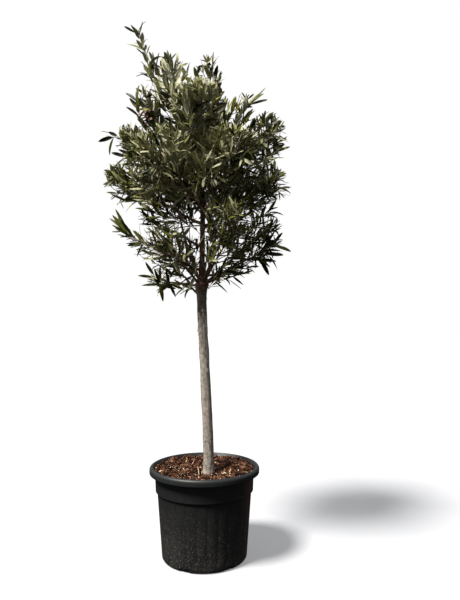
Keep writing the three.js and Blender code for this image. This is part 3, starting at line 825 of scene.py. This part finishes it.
def distanceToAxes(points):
    # From each point to the line between every mass's bough tip and furthest leaf
    way = masses["far"] - masses["tip"]
    offset = points[:, None] - masses["tip"]
    share = np.clip((offset * way).sum(-1) / (way * way).sum(-1), 0, 1)
    return np.linalg.norm(offset - share[..., None] * way, axis=-1)


def inSpace(points, own, overlap):
    # Inside its own barrel, where (along / half)^4 + (across / width)^2 is under 1 and the width is its
    # spread times 1 - taper * along / half, and nearer to its own axis than to any other but for the overlap
    offset = points - masses["centre"][own]
    along = (offset * masses["axis"][own]).sum(-1)
    across = np.sqrt(np.maximum((offset**2).sum(-1) - along**2, 0))
    reach = along / masses["half"][own]
    width = masses["spread"][own] * (1 - barrel["taper"] * np.clip(reach, -1, 1))
    share = np.abs(reach) ** barrel["power"] + (across / width) ** 2
    distances = distanceToAxes(points)
    each = np.arange(len(points))
    ownDistance = distances[each, own]
    distances[each, own] = np.inf
    return (share < 1) & (ownDistance < distances.min(1) + overlap)


def overUnderside(points):
    # The crown's underside is level from the head and rises on the right
    aside = np.clip(points[:, 0] - underside["riseFrom"], 0, underside["riseRun"])
    return points[:, 2] > underside["height"] + underside["rise"] * aside


def growPath(start, direction, longest, rise, own, free=False):
    # A shoot sets off along direction and turns towards the light: its heading is direction plus rise * s
    # upwards, s running from 0 to 1, and it stops short of the edge of its own space
    steps = 24
    heading = unit(direction + np.linspace(0, 1, steps)[:, None] * rise * skyward)
    stride = longest / (steps - 1)
    path = start + np.vstack([np.zeros(3), np.cumsum((heading[1:] + heading[:-1]) / 2 * stride, axis=0)])
    inside = inSpace(path, np.full(steps, own), 0.01) & (overUnderside(path) | (crownNames[own] == hanging))
    inside = inside | free
    inside[:4] = True
    reached = steps if inside.all() else int(np.argmin(inside))
    length = (reached - 1) * stride - (shoots["leafRoom"] if reached < steps else 0)
    if length < shoots["shortest"]:
        return None
    return pointOn(path, np.linspace(0, length / stride, shoots["pathPoints"]))


def leanOut(along, turn, lean):
    # A direction that leans out of another one, at this turn round it
    u = unit(np.cross(along, np.array([1.0, 0, 0]) if abs(along[2]) > 0.9 else skyward))
    v = unit(np.cross(along, u))
    return along * np.cos(lean) + (u * np.cos(turn) + v * np.sin(turn)) * np.sin(lean)


def growMass(own):
    # The rule of the solids, carried on to side shoots: a stem along the mass's axis, twigs round it by the
    # golden angle, and side shoots from both sides of each twig in turn
    random = np.random.default_rng(31 + 977 * own)
    start, tip, far, axis = (masses[key][own] for key in ("start", "tip", "far", "axis"))
    length = np.linalg.norm(far - tip)
    steep = max(0, axis[2]) ** 2
    rise = between(shoots["rise"], shoots["riseHigh"], steep)
    s = np.linspace(0, 1, 20)[:, None]
    bend = np.array([*(random.random(2) - 0.5), 0]) * shoots["bend"] * length
    bend = bend + unit(axis * [1, 1, 0]) * shoots["bow"] * length * axis[2] ** 2
    stemPath = tip + axis * s * shoots["stemShare"] * length + bend * np.sin(np.pi * s) ** 2
    stemPath[0] -= axis * 0.004
    found = [("stem", stemPath, shoots["stemRadius"], own)]
    every = shoots["everyLow" if start[2] <= headHeight else "every"]
    twigs = openMasses.get(crownNames[own], int(shoots["stemShare"] * length / every))
    for number in range(twigs):
        share = (number + shoots["jitter"] * random.random()) / twigs
        t = between(shoots["twigFrom"], shoots["twigTo"], share)
        turn = number * goldenAngle + shoots["turnJitter"] * random.random()
        direction = leanOut(axis, turn, shoots["lean"] - shoots["leanLoss"] * t)
        direction = unit(direction + shoots["lift"] * steep * skyward)
        root = pointOn(stemPath, t * (len(stemPath) - 1))
        path = growPath(root, direction, shoots["twigLongest"], rise, own)
        if path is None:
            continue
        found.append(("twig", path, shoots["twigRadius"], own))
        sides = int(lengthsAlong(path).sum() / shoots["sideEvery"])
        for i in range(sides):
            t = shoots["sideFrom"] + shoots["sideRun"] * (i + 0.5 * random.random()) / sides
            place = t * (len(path) - 1)
            along = unit(path[int(place) + 1] - path[int(place)])
            turn = turn + np.pi * 0.9 + 0.5 * random.random()
            direction = leanOut(along, turn, shoots["sideLean"])
            longest = shoots["sideLongest"] * (0.55 + 0.45 * random.random())
            sidePath = growPath(pointOn(path, place), direction, longest, rise, own)
            if sidePath is not None:
                found.append(("side", sidePath, shoots["sideRadius"], own))
    return found


placedShoots = [  # those that the eye finds first: kind, mass, and in mm depth and each point's x and z
    ("pair", "spire", (0, -184, 1498, -189, 1513, -192, 1524)),
    ("loose", "spire", (-10, -164, 1452, -170, 1463, -179, 1475), (-20, -148, 1366, -151, 1377, -157, 1389)),
    ("dry", "left_top", (-55, -145, 1231, -154, 1248, -166, 1265), (-55, -147, 1242, -157, 1258, -160, 1270)),
    ("dry", "top_left", (-60, -111, 1282, -106, 1294, -100, 1305)),
    ("star", "left_under", ((-20, -50, -85), -116, 816, -121, 799, -119, 787),
     ((-20, -50, -70), -128, 831, -138, 819, -141, 808), ((-30, -50, -70), -115, 818, -101, 802, -93, 789)),
    ("fan", "left_low", (-30, -155, 896, -187, 913, -210, 930, -222, 944)),
    ("loose", "left_low", (-30, -147, 927, -161, 919, -173, 910), (-50, -144, 912, -155, 909, -167, 911)),
    ("loose", "left_upper", (-30, -216, 1183, -236, 1206, -250, 1217, -259, 1214),
     (-20, -192, 1152, -212, 1160, -226, 1160), (-30, -153, 1197, -161, 1220, -167, 1240)),
    ("loose", "left_top", (-30, -173, 1223, -184, 1269, -190, 1301, -193, 1315),
     (-40, -94, 1262, -114, 1291, -131, 1316), (-60, -78, 1274, -100, 1302, -120, 1322)),
    ("loose", "top_left", (-20, -128, 1377, -143, 1386, -154, 1397), (0, -99, 1369, -110, 1395, -119, 1419),
     (0, -75, 1393, -87, 1416, -99, 1436), (0, -43, 1357, -49, 1381, -52, 1401)),
    ("loose", "crest", (0, 28, 1387, 25, 1410, 23, 1431)),
    ("loose", "top_right", (-10, 63, 1254, 74, 1277, 83, 1295)),
    ("fan", "top_right", (0, 92, 1290, 115, 1310, 133, 1322)),
    ("loose", "right_upper", (-20, 167, 1233, 187, 1227, 202, 1221)),
    ("loose", "right_middle", (-10, 156, 1132, 182, 1155, 203, 1175)),
    ("loose", "left_middle", (-60, -72, 989, -103, 1004, -131, 1009),
     (-30, -155, 1028, -176, 1033, -190, 1031)),
    ("loose", "left_inner", (-50, -84, 960, -116, 980, -144, 995)),
    ("loose", "right_low", (-20, 132, 961, 161, 984, 184, 998), (-30, 126, 896, 158, 884, 184, 875)),
    ("loose", "right_under", (-20, 150, 880, 176, 891, 199, 903), (-20, 115, 891, 141, 877, 161, 865),
     (-30, 34, 838, 54, 832, 72, 832)),
]
inner = dict(
    every=0.008, everyLow=0.018,  # between leafy shoots along a bough, and on those that fork lower
    fork=0.95, lean=0.95, longest=0.10, rise=0.6,
    leader=(0.985, 1.19, 0.009), leaderLean=1.1,  # heights where the leader bears them, and how often
    head=(0.755, 0.815, 6), headTop=0.805, headLean=1.5, headLongest=0.045,  # the same, how many
)


def growInner():
    # Short leafy shoots near the middle, which hide the forks, and after them the listed ones
    random = np.random.default_rng(77)
    found = []

    def sprout(root, along, number, own, longest, lean):
        # One of them, turned on from the last by the golden angle
        direction = leanOut(along, number * goldenAngle + 0.5 * random.random(), lean)
        length = longest * (0.5 + 0.5 * random.random())
        path = growPath(root, direction, length, inner["rise"], own, free=True)
        if path is not None:
            found.append(("inner", path, shoots["sideRadius"], own))

    for own, line in enumerate(boughLines()):
        low = masses["start"][own, 2] < inner["fork"]
        count = int(np.linalg.norm(line[-1] - line[0]) / inner["everyLow" if low else "every"])
        for i in range(count):
            at = int((0.2 + 0.75 * (i + random.random()) / count) * (len(line) - 1))
            sprout(line[at], unit(line[at + 1] - line[at]), i, own, inner["longest"], inner["lean"])
    last = len(crown) - 1  # those of the leader and the head go with the last mass
    for number, height in enumerate(np.arange(*inner["leader"])):
        sprout(leaderAt(height), skyward, number, last, inner["longest"], inner["leaderLean"])
    for number, height in enumerate(np.linspace(*inner["head"])):
        foot = stem["foot"] * skyward
        root = stemCentre(np.array([min(height, inner["headTop"]) - stem["foot"]]))[0] + foot
        sprout(root, skyward, number, last, inner["headLongest"], inner["headLean"])
    for kind, name, *some in placedShoots:
        for depth, *sideAndHeight in some:
            x, z = np.reshape(sideAndHeight, (-1, 2)).T
            path = smoothThrough(np.stack([x, depth + 0 * x, z], -1) / 1000, shoots["pathPoints"])
            found.append((kind, path, shoots["sideRadius"], crownNames.index(name)))
    return found


grown = [shoot for own in range(len(crown)) for shoot in growMass(own)] + growInner()
print("shoots grown:", len(grown))


# The leaves

leaf = dict(
    length=(0.037, 0.058), thickness=0.0007, petiole=0.06,  # share of the length
    widthShare=0.175, topWidthShare=0.285,  # broader in the sun at the top
    broadens=(1.15, 1.38),  # the heights between which they do
    sizes=(1, 0.82, 0.64),  # tried in turn until one fits the space
    spacing=0.0128, openSpacing=0.0175,  # between pairs up a shoot
    footAngle=0.85, tipAngle=0.33,  # radians out of the shoot at its foot and tip
    overlap=0.014,  # how far leaves may reach in among their neighbours
    offStem=0.020, offLeader=0.010, leaderShows=(0.79, 1.03),
    bare={"stem": 0.3, "twig": 0.22, "side": 0.1, "inner": 0.22},  # share of a shoot without leaves
    lastAngle=0.55, lastLift=0.9,  # a stem's last pair opens wide, about a line that tips up
    lastTone=0.38, silverFrom=0.35,
    stations=(0, 0.07, 0.19, 0.38, 0.6, 0.8, 0.93), sides=4, stalk=0.0006, leastCurl=0.05,
    sunTurn=0.8,  # how much the upper face turns to the sun
    frontTurn=0.7,  # how much those of the top and of single shoots turn to the open side in front
)
placedLeaves = {  # of listed shoots: bare share, spacing, foot and tip angle, length, width, curl, tone
    "dry": (0.3, 0.0035, 1.2, 0.5, 0.028, 0.42, 1.6, -1),
    "star": (0.45, 0.011, 1.5, 1.2, 0.047, 0.21, 0.3, 0.35),
    "fan": (0.55, 0.007, 0.5, 0.15, 0.064, 0.16, 0.15, 0.45),
    "loose": (0.2, 0.013, 0.75, 0.4, 0.050, 0.21, 0.5, 0.4),
    "pair": (0.9, 0.013, 0.5, 0.5, 0.046, 0.27, 0.1, 0.35),
}


def leafPairs(kind, path, isOpen, random):
    # Pairs up a shoot, each turned a quarter from the last, or by 60 degrees in a star that is seen end on
    run = np.concatenate([[0], np.cumsum(lengthsAlong(path))])
    bare = leaf["bare"].get(kind)
    spacing = leaf["openSpacing" if isOpen else "spacing"]
    if kind in placedLeaves:
        bare, spacing = placedLeaves[kind][:2]
    first = bare * run[-1]
    count = max(1, int((run[-1] - first) / spacing))
    stops = run[-1] - np.arange(count)[::-1] * spacing * (0.85 + 0.3 * random.random())
    stops = np.clip(stops, first, run[-1])
    root = pointsAt(stops, run, path)
    along = unit(pointsAt(stops, run, np.gradient(path, axis=0)))
    share = (stops - first) / max(run[-1] - first, 1e-6)
    step = np.pi / (3 if kind == "star" else 2)
    turn = random.random() * np.pi + np.arange(count) * step + random.normal(0, 0.2, count)
    if kind == "stem" or kind in placedLeaves:  # the last pair opens to left and right
        turn -= turn[-1] + 0.1
    root, along, share = (np.repeat(x, 2, axis=0) for x in (root, along, share))
    turn = (np.repeat(turn, 2) + np.tile([0, np.pi], count))[:, None]
    level = np.where(np.abs(along[:, 1:2]) > 0.8, [[0, 0, 1.0]], [[0, 1.0, 0]])
    u = unit(np.cross(along, level))
    return root, along, u * np.cos(turn) + np.cross(along, u) * np.sin(turn), share


def sprayToneWithSunlight(tip, random):
    # How pale a spray is, 0 to 1: chance mixed with painted sunlight, paler the further towards the sun it
    # stands
    # Painted sunlight: sprays on the sunny side are given paler finishes
    paintedSunlight = (-0.44 * tip[0] - 0.33 * tip[1] + 0.84 * (tip[2] - 0.79)) / 0.62
    return float(np.clip(0.72 * random.random() + 0.68 * max(0, paintedSunlight) ** 1.5 - 0.01, 0, 0.999))


def allLeaves():
    # Every pair of every shoot, with the mass it belongs to and the tone of its spray
    random = np.random.default_rng(5)
    rows = []
    for kind, path, radius, own in grown:
        name = crownNames[own]
        placed = list(placedLeaves).index(kind) + 1 if kind in placedLeaves else 0
        isOpen = name in openMasses and kind in ("stem", "twig", "side")
        pairs = leafPairs(kind, path, isOpen, random)
        tone, free = sprayToneWithSunlight(path[-1], random), kind == "inner" or placed > 0
        alike = (own, tone, free, isOpen, placed, name == hanging)
        rows.append((*pairs, *(np.full(len(pairs[0]), value) for value in alike),
                     (kind == "stem") & (pairs[3] > 0.99)))
    keys = ("root", "along", "side", "share", "own", "tone", "free", "open", "placed", "hangs", "last")
    return {key: np.concatenate(values) for key, values in zip(keys, zip(*rows))}


def midrib(root, direction, curl, face, length, s):
    # Points of a leaf's middle, at shares s of its length: an arc whose heading turns by curl * s
    bent = np.where(np.abs(curl) < leaf["leastCurl"], leaf["leastCurl"], curl)
    turn = bent * s
    middle = (root + direction * (np.sin(turn) / bent * length)[..., None]
              - face * ((1 - np.cos(turn)) / bent * length)[..., None])
    return middle, turn[..., None]


def clearOfWood(points):
    # Not through the leader or the stem
    line = np.vstack([stemCentre(np.linspace(0, 0.53, 12)) + [0, 0, stem["foot"]], leaderLine()[8:]])
    middle = pointsAt(points[:, 2], line[:, 2], line[:, :2])
    radius = np.where(points[:, 2] < headHeight, leaf["offStem"], leaf["offLeader"])
    return np.hypot(*(points[:, :2] - middle).T) > radius


def leaderShows(roots, ends):
    # No leaf crosses the line of sight to the leader, which is open from the head to a little over 1 m
    middle = (roots + ends) / 2
    sight = -0.008 - 0.054 * middle[:, 1]
    rootAside, endAside = roots[:, 0] - sight, ends[:, 0] - sight
    nearer = np.minimum(np.abs(rootAside), np.abs(endAside))
    crosses = (rootAside * endAside < 0) | (nearer < leaf["offLeader"])
    low, high = leaf["leaderShows"]
    before = (middle[:, 1] < 0) & (middle[:, 2] > low) & (middle[:, 2] < high)
    return ~(crosses & before)


def dressLeaves():
    # Directions, faces, curls and sizes of the leaves that fit
    random = np.random.default_rng(6)
    pairs = allLeaves()
    root, share, own, last = (pairs[key] for key in ("root", "share", "own", "last"))
    count, placed = len(root), pairs["placed"] > 0
    rule = np.array([(0,) * 8, *placedLeaves.values()])[pairs["placed"]].T
    broad = smoothStep(root[:, 2], *leaf["broadens"])
    angle = between(leaf["footAngle"], leaf["tipAngle"], share)
    angle = np.where(last, leaf["lastAngle"], angle)
    angle = np.where(placed, between(rule[2], rule[3], share), angle)
    angle = (angle + random.normal(0, 0.2, count) * (1 - 0.5 * (last | placed)))[:, None]
    along = unit(pairs["along"] + last[:, None] * [[0, 0, leaf["lastLift"]]])
    direction = along * np.cos(angle) + pairs["side"] * np.sin(angle)
    direction = unit(direction + random.normal(0, 0.08, (count, 3)))
    face = pairs["along"] - leaf["sunTurn"] * unit(np.array(studio["sunWay"]))
    face = face + random.normal(0, 0.45, (count, 3)) * (1 - 0.6 * placed)[:, None]
    face = face - np.maximum(broad, placed | last)[:, None] * [[0, leaf["frontTurn"], 0]]
    face = unit(face - direction * (face * direction).sum(-1, keepdims=True))
    length = between(*leaf["length"], random.random(count))
    length = length * (1 - np.where(pairs["open"], 0, 0.2) * share**4)
    room = (1 - shoots["stemShare"]) * np.linalg.norm(masses["far"] - masses["tip"], axis=1)[own]
    length = np.where(last, np.minimum(length, room), length)
    length = np.where(placed, rule[4] * (0.85 + 0.3 * random.random(count)), length)
    width = between(leaf["widthShare"], leaf["topWidthShare"], broad)
    width = np.where(placed, rule[5], width) * (0.85 + 0.3 * random.random(count))
    curl = random.normal(0.2, 0.22, count)
    curl = np.where(random.random(count) < 0.05, 1.3 + 0.6 * random.random(count), curl)
    curl = np.where(placed, rule[6] + random.normal(0, 0.2, count), curl)
    size = np.zeros(count)
    for scale in leaf["sizes"]:
        ends = midrib(root, direction, curl, face, scale * length, 1)[0]
        fits = inSpace(ends, own, leaf["overlap"]) & (overUnderside(ends) | pairs["hangs"])
        fits = (fits | pairs["free"] | last) & clearOfWood(ends) & leaderShows(root, ends)
        size = np.where((size == 0) & fits, scale, size)
    tone = np.where(placed, rule[7], np.where(last, leaf["lastTone"], pairs["tone"]))
    tone = tone * np.where((tone > 0) & (random.random(count) < 0.15), 0.3, 1)
    tone = np.where(tone < 0, -1, np.clip(tone + random.normal(0, 0.2, count), 0.001, 0.999))
    fold = random.normal(0.12, 0.16, count)
    leaves = {"root": root, "own": own, "direction": direction, "face": face, "curl": curl, "width": width,
              "length": length * size, "fold": fold, "twist": random.normal(0, 0.4, count), "tone": tone}
    return {key: value[size > 0] for key, value in leaves.items()}


def leafSkin(leaves):
    # Each leaf is a flat tube of four sides: edge, ridge, edge, keel. Half its width is
    # sin(pi * s'^0.85)^0.62 past the petiole.
    s = np.array(leaf["stations"])
    bareShare = leaf["petiole"] * 0.85
    blade = np.clip((s - bareShare) / (1 - bareShare), 0, 1)
    outline = np.sin(np.pi * blade**0.85) ** 0.62
    keys = ("root", "direction", "curl", "face", "length", "width", "fold", "twist")
    root, direction, curl, face, length, width, fold, twist = (leaves[key][:, None] for key in keys)
    middle, turn = midrib(root, direction, curl, face, length, s)
    ahead = direction * np.cos(turn) - face * np.sin(turn)
    upper = face * np.cos(turn) + direction * np.sin(turn)
    across = np.cross(upper, ahead)
    twist = (twist * s)[..., None]
    across, upper = (across * np.cos(twist) + upper * np.sin(twist),
                     upper * np.cos(twist) - across * np.sin(twist))
    half = np.maximum(outline * width * length / 2, leaf["stalk"])[..., None]
    lift = half * fold[..., None]
    thick = np.where(outline > 0.05, leaf["thickness"] / 2, leaf["stalk"])[:, None]
    rings = np.stack([middle + across * half + upper * lift, middle + upper * thick,
                      middle - across * half + upper * lift, middle - upper * thick], 2)
    tips = midrib(*(leaves[key] for key in keys[:5]), 1)[0]
    ends = np.stack([leaves["root"] - leaves["direction"] * 0.001, tips], 1)
    count = len(ends)
    points = np.concatenate([rings.reshape(count, -1, 3), ends], axis=1)
    return points.reshape(-1, 3), tubeFaces(count, len(s), leaf["sides"])


def paintLeafTop(tree, place, dark, light):
    # The upper face: leathery and waxed, grey-green to olive, with a soft broad shine
    fine = addBump(tree, addNoise(tree, place, 1.5), 0.3, 0.0002)
    return sockets(addTwoTone(tree, place, dark, light, 7, 3)[0], 0.45, 0.2, fine)


def paintLeafUnder(tree, place, dark, light):
    # The under face: a felt of tiny silver scales, matt and pale
    return {**sockets(addTwoTone(tree, place, dark, light, 5, 3)[0], 0.75, 0.2), "Sheen Weight": 0.15}


leafTones = [  # upper finish of a spray, and up to which tone it is given
    ("leaf_dry", "#2f150b", "#55301e", 0.0), ("leaf_dark", "#101303", "#272c09", 0.30),
    ("leaf_olive", "#36390b", "#55591b", 0.53), ("leaf_yellow", "#4f4c10", "#787327", 0.60),
    ("leaf_grey", "#5e6037", "#8b8d5c", 0.76), ("leaf_pale", "#868667", "#bab997", 1.0),
]
parts = {  # the foliage in three, by how high its masses reach
    part: [name for name, heading, fork, reach, top, spread in crown if low < top <= high]
    for part, low, high in (("top", 1250, 2000), ("middle", 1100, 1250), ("low", 0, 1100))
}


def alongTheLeaf(ends):
    # Edges and midrib: both ends of the mesh edge lie on the same one of a leaf's sides
    side = ends % (len(leaf["stations"]) * leaf["sides"] + 2) % leaf["sides"]
    return side[:, 0] == side[:, 1]


def addLeaves():
    # One piece for each part of the crown. Upper faces take the tone of their spray, which holds painted
    # sunlight, and the under faces of darker sprays are dull, of paler ones silver.
    finishes = [(name, paintLeafTop, dark, light) for name, dark, light, upTo in leafTones]
    finishes += [("leaf_under_dull", paintLeafUnder, "#53562f", "#7d8055"),
                 ("leaf_under_silver", paintLeafUnder, "#868863", "#b6b78f")]
    leaves = dressLeaves()
    print("leaves:", len(leaves["root"]))
    isTop = np.tile(np.arange(leaf["sides"]) < 2, len(leaf["stations"]) + 1)  # of the faces of a leaf
    upper = np.searchsorted([tone[3] for tone in leafTones], leaves["tone"])[:, None]
    under = len(leafTones) + (leaves["tone"] > leaf["silverFrom"])[:, None]
    kinds = np.where(isTop, upper, under)
    for part, names in parts.items():
        chosen = np.isin(leaves["own"], [crownNames.index(name) for name in names])
        skin = leafSkin({key: value[chosen] for key, value in leaves.items()})
        addPiece(f"leaves_{part}", *skin, finishes, kinds[chosen].ravel(), alongTheLeaf,
                 slot="leaves", stands=[f"foliage_{name}" for name in names])


def addTwigs():
    # Stems, twigs and side shoots as tapering tubes; stems are brown, the young shoots silver-grey
    finishes = [("twig_bark", paintYoungBark, "#5f4c3e", "#a08b77", "#b7a78f"),
                ("green_shoot", paintYoungBark, "#857c66", "#c4b99f", "#cfc7b4"),
                ("silver_shoot", paintYoungBark, "#8d8b86", "#c2c1bf", "#d2d1cf")]
    sides = {"stem": 8, "twig": 6, "side": 5, "inner": 5, **{kind: 5 for kind in placedLeaves}}
    for part, names in parts.items():
        skins = []
        for kind in sides:
            some = [shoot for shoot in grown if shoot[0] == kind and crownNames[shoot[3]] in names]
            if not some:
                continue
            paths = np.array([shoot[1] for shoot in some])
            foot = np.array([shoot[2] for shoot in some])[:, None]
            s = np.linspace(0, 1, paths.shape[1])
            radii = between(foot, shoots["tipRadius"], s**0.9) * (1 + 0.5 * np.exp(-s * 12))
            finish = 2 if part == "top" else int(kind not in ("stem", "twig"))
            skins.append((finish, tubeSkin(paths, radii, sides[kind])))
        points, faces, kinds = joined(skins)
        addPiece(f"twigs_{part}", points, faces, finishes, kinds, slot="young_bark",
                 stands=[f"foliage_{name}" for name in names])


addTwigs()
addLeaves()
print("crown made")
